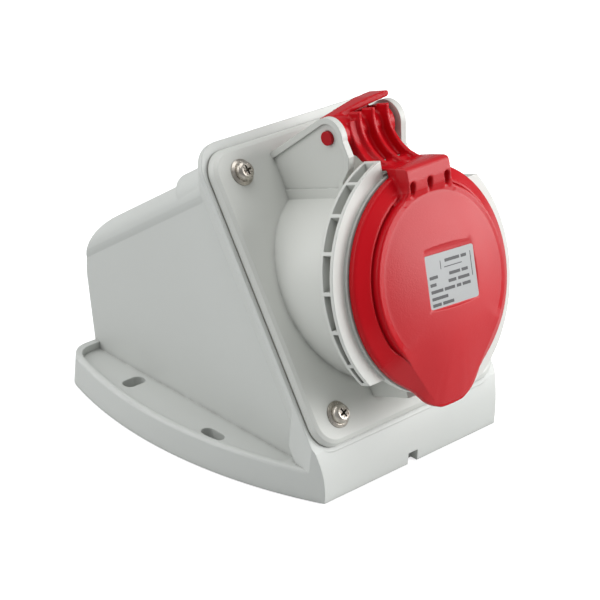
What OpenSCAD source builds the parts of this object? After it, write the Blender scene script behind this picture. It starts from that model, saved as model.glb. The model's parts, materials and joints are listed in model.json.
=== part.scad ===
// Wall-mounted industrial panel socket, 32 A, four poles, with a sprung lid.
// The wall plate lies on z = 0, +Z points away from the wall, the socket faces -Y and up.
// The origin is the middle of the wall face.

/* [Wall box] */
// Length of the wall plate, front foot to rear edge
base_l = 129; // [118:1:150]
// How far each fixing ear bulges beyond the front foot
ear_bulge = 19; // [14:1:26]
// Height of the ear's outer wall
ear_h = 12; // [9:0.5:15]
// Depth of the tray in each ear
tray_depth = 3; // [1.5:0.5:4]
// Width of the lip around each tray
ear_lip = 2.6; // [1.5:0.1:4]
// Wall thickness of the box
wall = 3; // [2:0.5:4]
// How far the panel plate stands out past each side wall
rim_flare = 4.5; // [3:0.5:6]
// How much each side wall draws in over the length of the box
side_draft = 3; // [1:0.5:5]
// How far the panel plate stands out past the top wall
top_step = 4.8; // [4:0.2:8]
// Lean of the rear wall from the vertical, degrees
rear_lean = 14; // [6:1:18]
// Radius of the bend between top wall and rear wall
rear_bend_r = 28; // [18:1:34]

/* [Panel] */
// Angle of the panel plate from the wall plate, degrees
panel_tilt = 53; // [48:1:58]
// Width of the panel plate
panel_w = 100; // [96:1:108]
// Length of the panel plate
panel_l = 114.4; // [110:0.2:122]
// Height of the panel plate above its joint
panel_h = 3.8; // [3:0.2:5]
// Corner radius of the panel plate
panel_r = 9.5; // [7:0.5:12]
// Height of the joint's lower edge above the wall plate
panel_z = 19.2; // [17:0.2:24]
// Setback of the joint's lower edge from the front foot
panel_back = 4.5; // [3:0.1:6]
// Width of the rim around the panel plate
rim_w = 1.7; // [1.2:0.1:3]
// Extra width of the rim along the top edge
rim_top = 2; // [0:0.5:4]
// Depth of the flared rim behind the joint
rim_depth = 11; // [8:0.5:14]
// Distance of the panel screws from the side edges
screw_in_x = 12.9; // [11:0.1:15]
// Distance of the panel screws from the top and bottom edges
screw_in_y = 10.3; // [9:0.1:13]
// Thickness of the panel gasket
gasket_t = 1.4; // [1:0.1:2]

/* [Socket collar] */
// Angle of the lid from the wall plate, degrees
lid_tilt = 69; // [67:1:71]
// Offset of the collar and hinge from the middle of the panel
lid_x = -3.3; // [-4:0.1:4]
// Distance of the lid centre up the panel from its lower edge
lid_up = 44.2; // [43:0.2:48]
// Height of the lid centre above the panel joint
lid_out = 38.3; // [37:0.1:42]
// Inner diameter of the collar
collar_in_d = 70; // [68:0.5:71]
// Wall thickness of the collar
collar_wall = 3; // [2.5:0.1:4]
// Depth of the collar from its front ring to its floor
collar_depth = 50; // [48:1:54]
// Thickness of the collar's floor
floor_t = 4; // [3:0.5:5]
// How far the hand guard stands out past the lid
guard_reach = 6.5; // [5:0.5:9]
// Thickness of the hand guard at the level of the lid centre
guard_t = 5.6; // [5:0.1:7]
// Thickness of each guard plate
guard_skin = 1.4; // [1.2:0.1:1.8]

/* [Lid and hinge] */
// Outer diameter of the lid's skirt
lid_d = 82; // [80:0.5:86]
// Height of the lid's skirt
skirt_h = 2.6; // [2:0.1:3.4]
// Width of the sloping shoulder between skirt and raised face
shoulder_w = 6.8; // [6:0.1:8]
// Height of the raised face above the skirt's back edge
face_h = 7.6; // [7.2:0.1:9]
// Rise of the dome above the face
dome_h = 4; // [3:0.1:5]
// Wall thickness of the lid
lid_wall = 2.2; // [1.8:0.1:2.6]
// Distance of the hinge axis from the lid's rim, along the lid
hinge_over = 14.8; // [14:0.2:18]
// Distance of the hinge axis behind the lid's skirt
hinge_in = 20.6; // [19:0.2:22]
// Diameter of the hinge pin
pin_d = 5.2; // [4.5:0.1:6]
// Running clearance around the hinge pin
pin_gap = 0.06; // [0.04:0.01:0.1]
// Clear width between the hinge ears
ear_gap = 28.8; // [27:0.2:31]
// Thickness of each hinge ear
hinge_ear_t = 2.8; // [2.4:0.2:4]

/* [Contacts] */
// Diameter of the contact carrier
carrier_d = 57; // [55:0.5:58]
// Radius of the circle of contacts
contact_circle_r = 16; // [15:0.5:18]
// Bore of a phase contact
phase_d = 6; // [5:0.1:7]
// Bore of the earth contact
earth_d = 8; // [7:0.1:9]

/* [Fixings] */
// Width of a wall fixing slot
slot_w = 5.5; // [4.5:0.5:6]
// Length of a wall fixing slot
slot_l = 10.2; // [8:0.2:12]
// Distance of each rear slot from the box's side
rear_slot_out = 6; // [5:0.5:8]
// Distance of the rear slots from the rear edge
rear_slot_back = 31; // [27:1:35]
// Distance of each front slot from the box's side
front_slot_out = 10.5; // [9:0.5:12]
// Distance of the front slots from the front foot
front_slot_y = 50.5; // [46:0.5:56]
// Head diameter of the panel screws
head_d = 7.6; // [7:0.1:8.5]
// Washer diameter of the panel screws
washer_d = 10; // [9:0.1:11]
// Shank diameter of the panel screws
shank_d = 4.2; // [4:0.1:4.6]

/* [Hidden] */

$fn = 96;
eps = 0.01;
soft_gap = 0.3;          // clearance of soft and loose pieces
fit_gap = 0.2;           // clearance of a moulded piece in its seat
grey = [0.80, 0.82, 0.80];
red = [0.78, 0.10, 0.13];
steel = [0.70, 0.68, 0.64];
brass = [0.80, 0.66, 0.36];

front_y = -base_l / 2;
panel_y = front_y + panel_back;
lid_y = panel_y + lid_up * cos(panel_tilt) - lid_out * sin(panel_tilt);
lid_z = panel_z + lid_up * sin(panel_tilt) + lid_out * cos(panel_tilt);

// Box and foot follow the panel they carry.
box_half_w = panel_w / 2 - rim_flare;
box_top = panel_l - top_step;
foot_w = panel_w - 3;
rear_slot_pitch = 2 * (box_half_w + rear_slot_out);
rear_slot_y = base_l - rear_slot_back;
front_slot_pitch = 2 * (box_half_w + front_slot_out);

// Ear outline: two large arcs through the foot's corners.
arc_mid = base_l - 56;
ear_r = (ear_bulge * ear_bulge + arc_mid * arc_mid) / (2 * ear_bulge);
arc_x = ear_r - foot_w / 2 - ear_bulge;
rear_corner_r = 12;
chin_l = 18;
edge_r = 1.5;

// Panel and box section, measured along the panel.
rim_half_w = panel_w / 2 + rim_w;
rim_low = -rim_w;
rim_high = panel_l + rim_w + rim_top;
rim_r = panel_r + rim_w;
ridge_r = 7;
ridge_proud = 0.7;
box_depth = 150;
screw_x = panel_w / 2 - screw_in_x;
screw_y = [screw_in_y, panel_l - screw_in_y];
boss_r = 8.4;
post_r = 6;
boss_l = 14;
seat_depth = 1;          // the gasket's seat in the rim
knock_d = 20.4;
knock_up = 13.5;
plate_t = 3;
tilt_step = lid_tilt - panel_tilt;

// Collar and guard.
collar_r = collar_in_d / 2 + collar_wall;
ring_r = lid_d / 2 + 0.6;
ring_front = -0.4;
ring_t = 2.8;
guard_front = -1.6;
guard_r = lid_d / 2 + guard_reach;
guard_lean = 2.6;        // the back plate runs further back towards the hinge
guard_top_x = 12.1;      // the left guard's top end
guard_end_y = lid_d * 0.36;
guard_ribs = [121, 138, 155, 172, 189, 206];
key_w = 28;
key_drop = 3.6;
key_front = -7;
groove_w = 11;

// Hinge.
pin_r = pin_d / 2;
hinge_up = lid_d / 2 + hinge_over;
knuckle_r = pin_r + 4;
knuckle_l = 6.4;
hinge_head_r = pin_r + 4.8;
hinge_lean = 22.4;
arm_end = ear_gap / 2 - soft_gap;
tab_r = 9;
tab_out = lid_d / 2 + 5.4;
rib_x = [-7.2, 0, 7.6];
rib_t = 1.8;
barrel_r = pin_r + 3.2;
spring_wire = 1.4;
spring_turns = 7;
spring_r = pin_r + soft_gap + spring_wire;
spring_l = spring_turns * spring_wire;
arm_in = ring_r + 0.45;
arm_bend = [hinge_up + 3, 3.9];
arm_bend_r = arm_bend[0] - arm_in - 0.55;

// Carrier and contacts, measured from the lid's skirt plane.
carrier_r = carrier_d / 2;
carrier_front = -8;
floor_back = ring_front - collar_depth;
flange_t = 4;
flange_r = carrier_r + 5;
carrier_back = floor_back - 13;
sleeve_wall = 1.3;
sleeve_front = carrier_front - 1;
clamp_l = 16;
clamp_w = 10;
contact_turn = [90, 180, 0, -90];

// Lid face.
face_r = lid_d / 2 - shoulder_w;
dome_c = face_r - 2.7;
label_w = 27;
label_l = 19.5;
label_drop = 0.9;
label_x = 0.5;

// ---------------------------------------------------------------- placing

module at_panel() translate([0, panel_y, panel_z]) rotate([panel_tilt, 0, 0]) children();

module at_lid() translate([lid_x, lid_y, lid_z]) rotate([lid_tilt, 0, 0]) children();

module at_hinge() at_lid() translate([0, hinge_up, -hinge_in]) rotate([0, 90, 0]) children();

// A solid drawn in a plane square to X, as (lid y, lid z) points, from x0 to x1.
module lid_slab(x0, x1)
    at_lid() translate([x0, 0, 0]) rotate([90, 0, 90]) linear_extrude(x1 - x0) children();

module rounded_box(x, y0, y1, r, z0, z1)
    translate([0, 0, z0]) linear_extrude(z1 - z0) rounded_plan(x, y0, y1, r);

module rounded_plan(x, y0, y1, r) {
    translate([-x + r, y0]) square([2 * (x - r), y1 - y0]);
    translate([-x, y0 + r]) square([2 * x, y1 - y0 - 2 * r]);
    for (sx = [-1, 1], y = [y0 + r, y1 - r]) translate([sx * (x - r), y]) circle(r);
}

// ---------------------------------------------------------------- wall box

// One ear's outer wall, a large disc with a softened top edge.
module ear_disc(side, inset, top, soften)
    translate([side * arc_x, front_y + arc_mid, 0]) rotate_extrude($fn = 180) {
        r = ear_r - inset;
        square([r - soften, top]);
        square([r, top - soften]);
        if (soften > 0) translate([r - soften, top - soften]) circle(soften, $fn = 32);
    }

module foot_plan_cut(inset, top) {
    r = rear_corner_r - inset;
    y = front_y + base_l - inset;
    x = sqrt(pow(ear_r - rear_corner_r + 0.05, 2) - pow(base_l - rear_corner_r - arc_mid, 2)) - arc_x;
    turn = atan2(base_l - rear_corner_r - arc_mid, x + arc_x);
    for (s = [0, 1]) mirror([s, 0, 0]) translate([x, y - r, -1]) linear_extrude(top + 2) difference() {
        polygon(3 * r * [[0, 0], [cos(turn), sin(turn)], [1, 1], [0, 1]]);
        circle(r);
    }
}

module foot(inset = 0, top = ear_h, soften = edge_r) {
    difference() {
        intersection() {
            ear_disc(1, inset, top, soften);
            ear_disc(-1, inset, top, soften);
            translate([-foot_w, front_y + inset, 0]) cube([2 * foot_w, base_l - 2 * inset, top]);
            translate([-foot_w, front_y, 0]) rotate([90, 0, 90]) linear_extrude(2 * foot_w) {
                translate([chin_r, 0]) circle(chin_r - inset, $fn = 180);
                translate([chin_r, -chin_r]) square([300, 200]);
            }
        }
        foot_plan_cut(inset, top);
    }
}

// A point of the side view, s along the panel and d behind its joint, as (y, z) from the front foot.
function along(s, d) = [panel_back + s * cos(panel_tilt) + d * sin(panel_tilt),
    panel_z + s * sin(panel_tilt) - d * cos(panel_tilt)];
rear_dir = [sin(rear_lean), cos(rear_lean)];
rear_out = [cos(rear_lean), -sin(rear_lean)];
top_dir = [sin(panel_tilt), -cos(panel_tilt)];
top_out = [cos(panel_tilt), sin(panel_tilt)];
chin_r = (panel_z * panel_z + panel_back * panel_back) / (2 * panel_back);

// Side view of the box with every face drawn in by inset: curved chin, panel line, top, bend and rear.
module side_view(inset) {
    a = along(box_top - inset, 0);
    q = [base_l, ear_h] - inset * rear_out;
    det = top_dir[0] * rear_dir[1] - top_dir[1] * rear_dir[0];
    t = ((q[0] - a[0]) * rear_dir[1] - (q[1] - a[1]) * rear_dir[0]) / det;
    corner = a + t * top_dir;
    r = rear_bend_r - inset;
    run = r * tan((panel_tilt + rear_lean) / 2);
    t1 = corner - run * top_dir;
    t2 = corner - run * rear_dir;
    low = q - rear_dir * (q[1] - inset) / rear_dir[1];
    intersection() {
        union() {
            polygon([[-9, inset], low, t2, t1, along(box_top - inset, inset), along(-22, inset)]);
            translate(t1 - r * top_out) circle(r);
        }
        union() {
            translate([chin_r, 0]) circle(chin_r - inset, $fn = 180);
            polygon([[chin_r, -10], [300, -10], [300, 300], along(6, -300), along(6 + inset, inset + 0.4)]);
        }
    }
}

module side_slab(half_w, inset)
    translate([-half_w, front_y, 0]) rotate([90, 0, 90]) linear_extrude(2 * half_w) side_view(inset);

// Section of the box square to its depth, tapering from the rim to the rear on each side.
module box_section(half_w, low, high, r) {
    lean = atan(side_draft / box_depth);
    for (s = [-1, 1]) at_panel() mirror([s < 0 ? 1 : 0, 0, 0])
        translate([half_w, 0, 0]) rotate([0, lean, 0]) translate([0, 0, -box_depth])
            linear_extrude(box_depth + 6) {
                translate([-half_w - 6, low]) square([half_w + 6, high - r - low]);
                translate([-half_w - 6, low]) square([half_w + 6 - r, high - low]);
                translate([-r, high - r]) circle(r);
            }
}

// The closed form of the box behind the joint, with every face drawn in by inset.
module box_form(inset)
    intersection() {
        side_slab(foot_w, inset);
        box_section(box_half_w - inset, -80, box_top - inset, ridge_r - min(inset, ridge_r - 2));
    }

// Corner columns that run back from the upper screws, a little proud of the side walls.
module ridges()
    intersection() {
        side_slab(foot_w, 0);
        box_section(box_half_w + ridge_proud, box_top - ridge_r - 0.6, box_top, ridge_r);
    }

// Flared frame around the panel joint.
module rim()
    at_panel() {
        hull() {
            rounded_box(rim_half_w, rim_low, rim_high, rim_r, -2.2, -1.2, $fn = 48);
            rounded_box(box_half_w + 1, rim_low, box_top + 1, ridge_r + 2, -rim_depth, -rim_depth + 0.2, $fn = 48);
        }
        rounded_box(rim_half_w, rim_low, rim_high, rim_r, -1.2, 0);
    }

// Front foot: the block with the curved chin below the panel, between the front corners.
module chin()
    intersection() {
        foot(0, 60, 0);
        side_slab(rim_half_w, 0);
        at_panel() translate([-foot_w, -60, -rim_depth]) cube([2 * foot_w, 120, 2 * rim_depth]);
        translate([-foot_w, front_y - 1, -1]) cube([2 * foot_w, chin_l, 80]);
    }

module wall_slots()
    for (s = [-1, 1]) {
        translate([s * rear_slot_pitch / 2, front_y + rear_slot_y, -1]) slot_hole(0);
        translate([s * front_slot_pitch / 2, front_y + front_slot_y, -1]) slot_hole(90);
    }

module slot_hole(turn, grow = 0) {
    r = slot_w / 2 + grow;
    d = (slot_l - slot_w) / 2;
    rotate([0, 0, turn]) {
        for (s = [-1, 1]) translate([s * d, 0, 0]) cylinder(r = r, h = ear_h + 4);
        translate([-d, -r, 0]) cube([2 * d, 2 * r, ear_h + 4]);
    }
}

// Tray in the top of each ear, open above, closed in front by the foot.
module trays()
    difference() {
        translate([0, 0, ear_h - tray_depth]) intersection() {
            foot(ear_lip, 30, 0);
            translate([-foot_w, front_y + 17, 0]) cube([2 * foot_w, base_l, 30]);
        }
        box_form(0);
        at_panel() translate([-foot_w, -60, -rim_depth - 1]) cube([2 * foot_w, 250, 60]);
    }

// Hollow under each ear, with the slots' bosses and cross ribs left standing.
module ear_hollows()
    difference() {
        intersection() {
            foot(ear_lip + 0.4, ear_h - tray_depth - wall, 0);
            translate([-foot_w, front_y + 12, -1]) cube([2 * foot_w, base_l - 24, 30]);
        }
        translate([-box_half_w + 2, front_y, -2]) cube([2 * box_half_w - 4, base_l, 40]);
        for (s = [-1, 1]) {
            translate([s * rear_slot_pitch / 2, front_y + rear_slot_y, -2]) slot_hole(0, 2);
            translate([s * front_slot_pitch / 2, front_y + front_slot_y, -2]) slot_hole(90, 2);
        }
        for (y = [30, 74, 114]) translate([-foot_w, front_y + y - 0.8, -2]) cube([2 * foot_w, 1.6, 30]);
    }

module screw_places() for (sx = [-1, 1], y = screw_y) at_panel() translate([sx * screw_x, y, 0]) children();

// Cable entry: a round knock-out ring in the rear wall.
module knock_out()
    translate([0, front_y + base_l, ear_h]) rotate([-90 - rear_lean, 0, 0]) translate([0, -knock_up, -0.8])
        difference() {
            cylinder(r = knock_d / 2 + 0.8, h = 3);
            translate([0, 0, -1]) cylinder(r = knock_d / 2, h = 5);
        }

module wall_box()
    color(grey) difference() {
        union() {
            foot();
            chin();
            box_form(0);
            ridges();
            rim();
            screw_places() translate([0, 0, -rim_depth - boss_l]) cylinder(r = boss_r, h = boss_l + 2);
        }
        difference() {
            union() {
                box_form(wall);
                at_panel() rounded_box(panel_w / 2 - 5, 5, box_top - wall, 5, -wall - 6, 1);
            }
            screw_places() translate([0, 0, -rim_depth - boss_l - 2]) cylinder(r = post_r, h = 60);
        }
        at_panel() rounded_box(panel_w / 2 - fit_gap, fit_gap, panel_l - fit_gap, panel_r, -seat_depth, 1);
        trays();
        ear_hollows();
        wall_slots();
        screw_places() translate([0, 0, -16]) cylinder(r = shank_d / 2 + fit_gap / 2, h = 20);
        translate([-2.6, front_y - 1, -1]) cube([5.2, 4, 5.4]);
        translate([-foot_w, front_y - 20, -50]) cube([2 * foot_w, 2 * base_l, 50]);
        knock_out();
    }

// ---------------------------------------------------------------- panel and collar

module panel_gasket()
    color([0.86, 0.80, 0.66]) at_panel() difference() {
        rounded_box(panel_w / 2 - 0.4, 0.4, panel_l - 0.4, panel_r - 0.4, -seat_depth, gasket_t - seat_depth);
        rounded_box(panel_w / 2 - 4.6, 4.6, box_top - wall - 0.4, 5, -3, 3);
        for (sx = [-1, 1], y = screw_y) translate([sx * screw_x, y, -3]) cylinder(r = shank_d / 2 + fit_gap, h = 8);
    }

module panel_plate() {
    low = gasket_t - seat_depth;
    at_panel() {
        difference() {
            hull() {
                rounded_box(panel_w / 2, 0, panel_l, panel_r, low, low + 0.8, $fn = 48);
                rounded_box(panel_w / 2 - 0.7, 0.7, panel_l - 0.7, panel_r - 0.6, panel_h - 0.9, panel_h - 0.8, $fn = 48);
                rounded_box(panel_w / 2 - 2, 2, panel_l - 2, panel_r - 1.6, panel_h - 0.2, panel_h, $fn = 48);
            }
            rounded_box(panel_w / 2 - 6, 6, box_top - wall - 1, 4, -2, panel_h - plate_t);
        }
        intersection() {
            for (sx = [-1, 1], y = screw_y) translate([sx * screw_x, y, -seat_depth])
                cylinder(r = post_r - 1, h = seat_depth + panel_h - plate_t + 1);
            rounded_box(panel_w / 2 - 5, 5, box_top - wall - 0.7, 5, -5, 5);
        }
    }
}

// The tube through the plate, with its front ring and the key bulge under it.
module collar_outside()
    at_lid() {
        translate([0, 0, floor_back]) cylinder(r = collar_r, h = collar_depth);
        translate([0, 0, ring_front - ring_t]) cylinder(r = ring_r, h = ring_t);
        intersection() {
            translate([-key_w / 2, -collar_r - key_drop, floor_back]) cube([key_w, collar_r, key_front - floor_back]);
            translate([0, 0, floor_back]) cylinder(r = collar_r + key_drop + 2, h = collar_depth);
        }
    }

// One half of the hand guard, from its end beside the hinge round to its low end.
module guard_plan(r_in)
    difference() {
        circle(guard_r, $fn = 180);
        circle(r_in, $fn = 180);
        translate([-guard_top_x, -2 * guard_r]) square(4 * guard_r);
        translate([-2 * guard_r, -2 * guard_r]) square([4 * guard_r, 2 * guard_r - guard_end_y]);
    }

// Everything in front of the guard's leaning back plate.
module guard_depth(inset)
    rotate([-guard_lean, 0, 0]) translate([-guard_r - 1, -guard_r - 1, guard_front - guard_t + inset])
        cube([2 * guard_r + 2, 2 * guard_r + 2, 30]);

module guards()
    for (turn = [0, 1]) at_lid() intersection() {
        guard_depth(0);
        rotate([0, 0, 180 * turn]) difference() {
            translate([0, 0, guard_front - 12]) linear_extrude(12) guard_plan(collar_r - 1);
            intersection() {
                translate([0, 0, guard_front - 12]) linear_extrude(12 - guard_skin) difference() {
                    guard_plan(collar_r + 0.6);
                    translate([-guard_top_x - guard_skin, 0]) square([guard_skin + 1, guard_r]);
                    translate([-guard_r, -guard_end_y]) square([guard_r, guard_skin]);
                    for (a = guard_ribs) rotate(a) translate([0, -0.7]) square([guard_r + 1, 1.4]);
                }
                rotate([0, 0, -180 * turn]) guard_depth(guard_skin);
            }
        }
    }

// Side view of a hinge ear in the lid's plane, with its edge drawn in by inset.
module ear_plan(inset, step) {
    r = hinge_head_r - inset;
    p = [hinge_up, -hinge_in];
    back = p + r * [cos(hinge_lean), -sin(hinge_lean)];
    front = p + r * [-sin(12), cos(12)];
    translate(p) circle(r);
    polygon(concat([p, back, back - 60 * [sin(hinge_lean), cos(hinge_lean)], p + [-25.8, -62],
        p + [-25.8, 2.3 - inset]],
        step ? [p + [-16.2, 3.9 - inset * 1.1], p + [-12, 7.6 - inset], p + [-7.4, 8.9 - inset]]
            : [p + [-9, 5.6 - inset]],
        [front]));
}

module hinge_ears()
    intersection() {
        difference() {
            for (s = [-1, 1]) {
                x0 = s < 0 ? -ear_gap / 2 - hinge_ear_t : ear_gap / 2;
                lid_slab(x0, x0 + hinge_ear_t) ear_plan(0, s < 0);
            }
            for (s = [-1, 1]) {
                x0 = s < 0 ? -ear_gap / 2 - hinge_ear_t - 1 : ear_gap / 2 + hinge_ear_t - 0.8;
                intersection() {
                    lid_slab(x0, x0 + 1.8) ear_plan(2.2, s < 0);
                    at_lid() translate([-50, hinge_up - 18.3, -80]) cube([100, 40, 90]);
                }
            }
        }
        at_panel() translate([-50, 0, panel_h - 1]) cube([100, panel_l - 1.6, 120]);
    }

module socket_panel()
    color(grey) difference() {
        union() {
            panel_plate();
            intersection() {
                collar_outside();
                translate([-100, -200, 0]) cube([200, 400, 300]);
            }
            guards();
            hinge_ears();
        }
        at_lid() {
            translate([0, 0, floor_back + floor_t]) cylinder(r = collar_in_d / 2, h = collar_depth);
            translate([0, 0, floor_back - 1]) cylinder(r = carrier_r - 1 + fit_gap, h = 20);
            translate([-groove_w / 2, -collar_in_d / 2 - 3, floor_back + floor_t]) cube([groove_w, 10, collar_depth]);
            for (s = [-1, 1]) rotate([0, 0, 45 * s]) translate([0, carrier_r + 2.6, floor_back - 1])
                cylinder(r = 1.6, h = floor_t - 0.5);
        }
        at_hinge() translate([0, 0, -40]) cylinder(r = pin_r + pin_gap, h = 80);
        screw_places() translate([0, 0, -2]) cylinder(r = shank_d / 2 + fit_gap, h = 12);
    }

// ---------------------------------------------------------------- screws

module panel_screw(i) {
    sx = [-1, 1, -1, 1][i - 1];
    y = screw_y[i < 3 ? 0 : 1];
    seat = panel_h + 1;
    color(steel) at_panel() translate([sx * screw_x, y, 0]) difference() {
        union() {
            translate([0, 0, -12]) cylinder(r = shank_d / 2, h = seat + 12);
            intersection() {
                translate([0, 0, seat]) cylinder(r = head_d / 2, h = 3);
                translate([0, 0, seat + 2.6 - 7]) sphere(7);
            }
        }
        translate([0, 0, seat + 0.9]) for (a = [0, 90]) rotate([0, 0, a])
            translate([-2.2, -0.5, 0]) cube([4.4, 1, 4]);
    }
}

module panel_washer(i) {
    sx = [-1, 1, -1, 1][i - 1];
    y = screw_y[i < 3 ? 0 : 1];
    color(steel) at_panel() translate([sx * screw_x, y, panel_h]) rotate_extrude()
        polygon([[shank_d / 2 + fit_gap, 0], [washer_d / 2, 0], [washer_d / 2, 0.4], [washer_d / 2 - 1, 1],
            [shank_d / 2 + fit_gap, 1]]);
}

module panel_screw_1() panel_screw(1);
module panel_screw_2() panel_screw(2);
module panel_screw_3() panel_screw(3);
module panel_screw_4() panel_screw(4);
module panel_washer_1() panel_washer(1);
module panel_washer_2() panel_washer(2);
module panel_washer_3() panel_washer(3);
module panel_washer_4() panel_washer(4);

// ---------------------------------------------------------------- contacts

function contact_r(i) = (i == 3 ? earth_d : phase_d) / 2;

module at_contact(i) at_lid() rotate([0, 0, contact_turn[i]]) translate([contact_circle_r, 0, 0]) children();

module contact_carrier()
    color([0.23, 0.24, 0.25]) difference() {
        at_lid() {
            translate([0, 0, floor_back + floor_t]) cylinder(r = carrier_r, h = carrier_front - floor_back - floor_t);
            translate([0, 0, carrier_back]) cylinder(r = carrier_r - 1, h = floor_back + floor_t - carrier_back);
            translate([0, 0, floor_back - flange_t]) cylinder(r = flange_r, h = flange_t);
        }
        for (i = [0:3]) {
            r = contact_r(i) + sleeve_wall + fit_gap;
            at_contact(i) {
                translate([0, 0, carrier_back - 1]) cylinder(r = r, h = 100);
                translate([-clamp_w / 2 - fit_gap, -clamp_w / 2 - fit_gap, carrier_back - 1])
                    cube([clamp_w + 2 * fit_gap, clamp_w + 2 * fit_gap, clamp_l + 1 + fit_gap]);
            }
        }
        at_lid() for (s = [-1, 1]) rotate([0, 0, 45 * s]) translate([0, carrier_r + 2.6, floor_back - flange_t - 1])
            cylinder(r = 1.7, h = flange_t + 2);
    }

module contact(i) {
    r = contact_r(i);
    color(brass) difference() {
        at_contact(i) {
            translate([0, 0, carrier_back + clamp_l]) cylinder(r = r + sleeve_wall, h = sleeve_front - carrier_back - clamp_l);
            translate([-clamp_w / 2, -clamp_w / 2, carrier_back]) cube([clamp_w, clamp_w, clamp_l]);
        }
        at_contact(i) {
            translate([0, 0, sleeve_front - 28]) cylinder(r = r, h = 60);
            translate([0, 0, carrier_back - 1]) cylinder(r = 2.8, h = 13);
            translate([0, 0, carrier_back + 4]) rotate([0, 90, 0]) cylinder(r = 2, h = 20);
        }
    }
}

module contact_l1() contact(0);
module contact_l2() contact(1);
module contact_l3() contact(2);
module contact_earth() contact(3);

module terminal_screw(i)
    color(steel) at_contact(i) translate([0, 0, carrier_back + 4]) rotate([0, 90, 0]) difference() {
        translate([0, 0, 2.9]) cylinder(r = 1.95, h = clamp_w / 2 - 2.9);
        translate([-3, -0.4, clamp_w / 2 - 0.7]) cube([6, 0.8, 2]);
    }

module terminal_screw_l1() terminal_screw(0);
module terminal_screw_l2() terminal_screw(1);
module terminal_screw_l3() terminal_screw(2);
module terminal_screw_earth() terminal_screw(3);

module carrier_screw(s)
    color(steel) at_lid() rotate([0, 0, 45 * s]) translate([0, carrier_r + 2.6, floor_back - flange_t]) {
        cylinder(r = 1.5, h = flange_t + 2);
        translate([0, 0, -1.8]) cylinder(r = 2.6, h = 1.8);
    }

module carrier_screw_1() carrier_screw(-1);
module carrier_screw_2() carrier_screw(1);

// ---------------------------------------------------------------- lid

module hinge_pin()
    color(red) at_hinge() translate([0, 0, -ear_gap / 2 - hinge_ear_t - 0.4])
        cylinder(r = pin_r, h = ear_gap + 2 * hinge_ear_t + 0.8);

module lid_spring()
    color([0.42, 0.36, 0.30]) at_hinge() translate([0, 0, arm_end - spring_l]) rotate_extrude() {
        translate([pin_r + soft_gap, 0.3]) square([spring_wire * 0.7, spring_l - 0.6]);
        for (i = [0:spring_turns - 1])
            translate([spring_r - spring_wire / 2 + 0.04, (i + 0.5) * spring_wire]) circle(spring_wire / 2 - 0.05);
    }

// Revolved cap: skirt, sloping shoulder, groove, raised face and dome.
module lid_cap() {
    skirt_r = lid_d / 2;
    dome_r = (dome_c * dome_c + dome_h * dome_h) / (2 * dome_h);
    rotate_extrude() {
        polygon([[0, 0], [skirt_r - 0.1, 0], [skirt_r, 0.4], [skirt_r, skirt_h - 0.6], [skirt_r - 0.5, skirt_h + 0.2],
            [skirt_r - 4, skirt_h + 1.9], [face_r + 1.4, skirt_h + 2.7], [face_r + 0.8, skirt_h + 2.5],
            [face_r + 0.2, skirt_h + 1.8], [face_r, skirt_h + 2], [face_r, face_h - 0.5], [face_r - 0.5, face_h],
            [dome_c, face_h + 0.2], [0, face_h + 0.2]]);
    }
    intersection() {
        translate([0, 0, face_h + dome_h - dome_r]) sphere(dome_r, $fn = 180);
        cylinder(r = dome_c, h = face_h + 10);
    }
}

// Flow of the face into the thumb tab at the bottom of the lid.
module lid_tab() {
    tip = [0, -tab_out + tab_r];
    hull() {
        translate([0, 0, face_h - 1.4]) cylinder(r = face_r - 0.2, h = 0.9, $fn = 64);
        translate([0, 0, face_h - 0.2]) cylinder(r = face_r - 1.4, h = 0.3, $fn = 64);
        translate([tip[0], tip[1], 0]) cylinder(r = tab_r, h = 1.2, $fn = 32);
        translate([tip[0], tip[1], 0]) cylinder(r = tab_r - 1.4, h = 2.4, $fn = 32);
    }
    linear_extrude(1.1)
        polygon([[-18, -33], [18, -33], [tab_r - 1.5, tip[1] - 3], [1.5 - tab_r, tip[1] - 3]]);
}

// The lid's inside: room for the collar's ring and the thin wall under skirt, shoulder and face.
module lid_hollow() {
    skirt_r = lid_d / 2;
    translate([0, 0, -1]) rotate_extrude() polygon([[0, 0], [skirt_r - lid_wall, 0],
        [skirt_r - lid_wall - 0.2, skirt_h + 0.4], [face_r - 1, skirt_h + 1.6], [face_r - lid_wall, skirt_h + 2],
        [face_r - lid_wall - 0.4, face_h + 1 - lid_wall], [0, face_h + 1 - lid_wall]]);
}

module label_seat()
    translate([label_x, 0, 0]) rotate([0, 0, -3.5]) hull() {
        rounded_box(label_w / 2 + 0.4, -label_l / 2 - 0.4, label_l / 2 + 0.4, 2,
            face_h + dome_h - label_drop, face_h + dome_h, $fn = 32);
        rounded_box(label_w / 2 + 3.6, -label_l / 2 - 3.6, label_l / 2 + 3.6, 5,
            face_h + dome_h + 0.3, face_h + dome_h + 1, $fn = 32);
    }

// Neck that carries the arm, in plan: straight sides with hollow fillets into the raised face.
module neck_form() {
    half = 11.6;
    fillet = 6;
    c = [half + fillet, sqrt(pow(face_r + fillet - 0.4, 2) - pow(half + fillet, 2))];
    translate([-half, face_r - 8]) square([2 * half, arm_in + 0.85 - face_r + 8]);
    for (s = [0, 1]) mirror([s, 0]) difference() {
        polygon([[0, face_r - 8], [half, c[1]], c, c * (face_r - 2) / (face_r + fillet)]);
        translate(c) circle(fillet);
    }
}

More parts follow.
